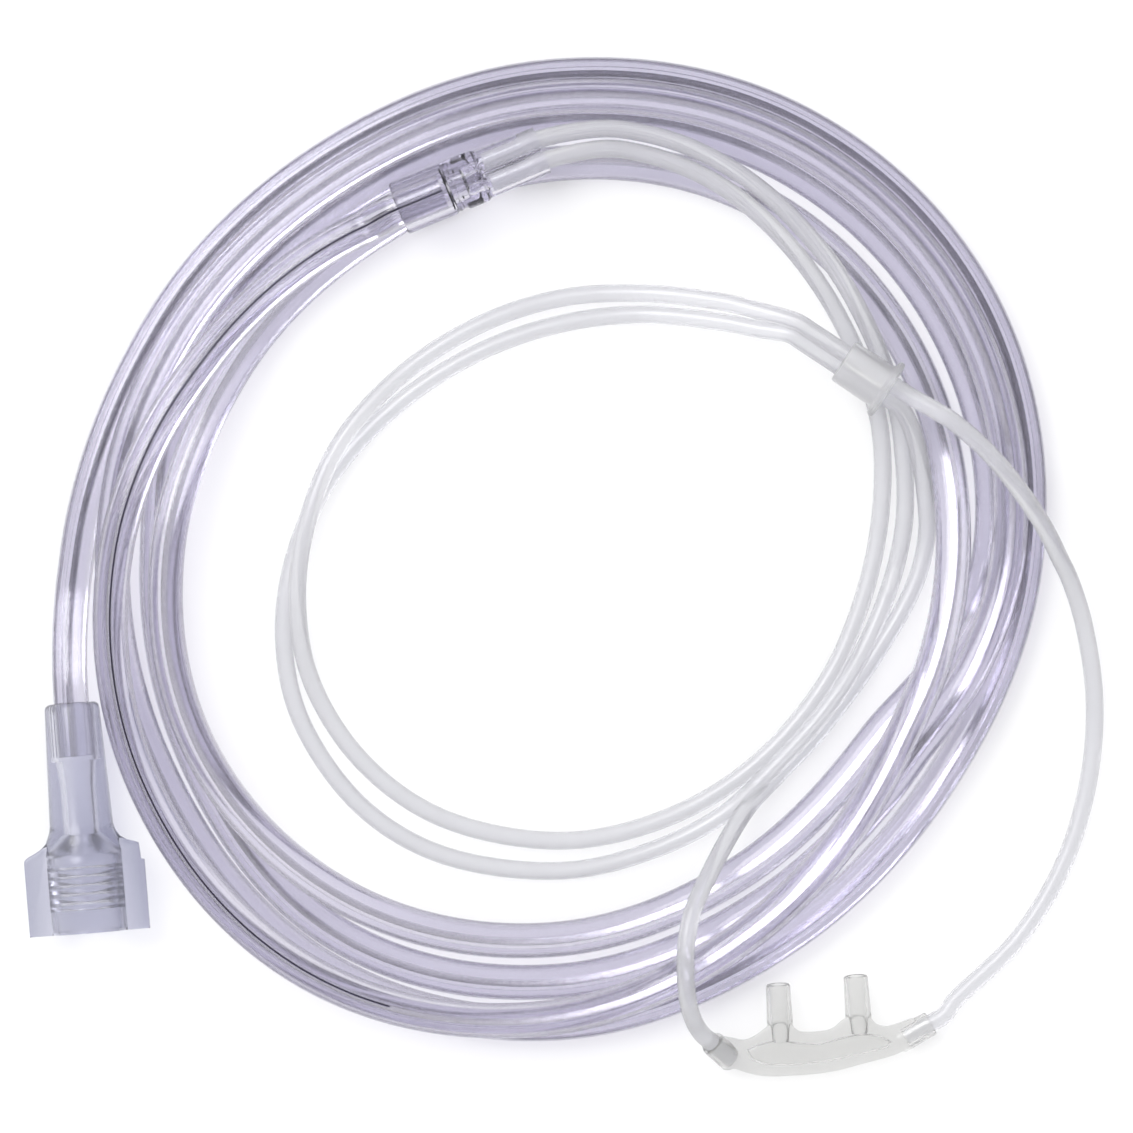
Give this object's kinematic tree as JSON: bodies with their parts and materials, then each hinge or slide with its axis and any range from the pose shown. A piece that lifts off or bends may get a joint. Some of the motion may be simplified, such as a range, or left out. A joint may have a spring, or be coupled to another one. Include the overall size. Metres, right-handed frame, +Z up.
{
  "type": "nasal oxygen cannula",
  "caption": "Nasal oxygen cannula put away in a coil: clear supply tube with a winged threaded connector, Y piece, milky headset tubes, a slider and a nasal facepiece with prongs.",
  "frame": {"origin": "centre of the object's outline at floor level, under the coil", "axes": "+Z up from the floor; +X to the right and +Y up the picture, which looks straight down"},
  "size_m": [0.2044, 0.1936, 0.0179],
  "materials": {
    "lavender_moulding": "translucent, satin",
    "clear_tube": "clear, glossy",
    "clear_moulding": "clear, glossy",
    "milky_tube": "milky, glossy",
    "soft_moulding": "milky, soft gloss"
  },
  "bodies": {
    "tubing": {"threaded_connector": "lavender_moulding", "supply_tube_lead": "clear_tube", "supply_coil": "clear_tube", "supply_tube_tail": "clear_tube", "y_piece": "clear_moulding", "headset_tube_right": "milky_tube", "headset_tube_left": "milky_tube", "facepiece": "soft_moulding"},
    "slider": {"slider": "soft_moulding"}
  },
  "joints": [
    {"name": "slider_slide", "type": "slide", "parent": "tubing", "child": "slider", "axis": [-0.8339, 0.5519, 0], "range_m": [0, 0.008]}
  ]
}
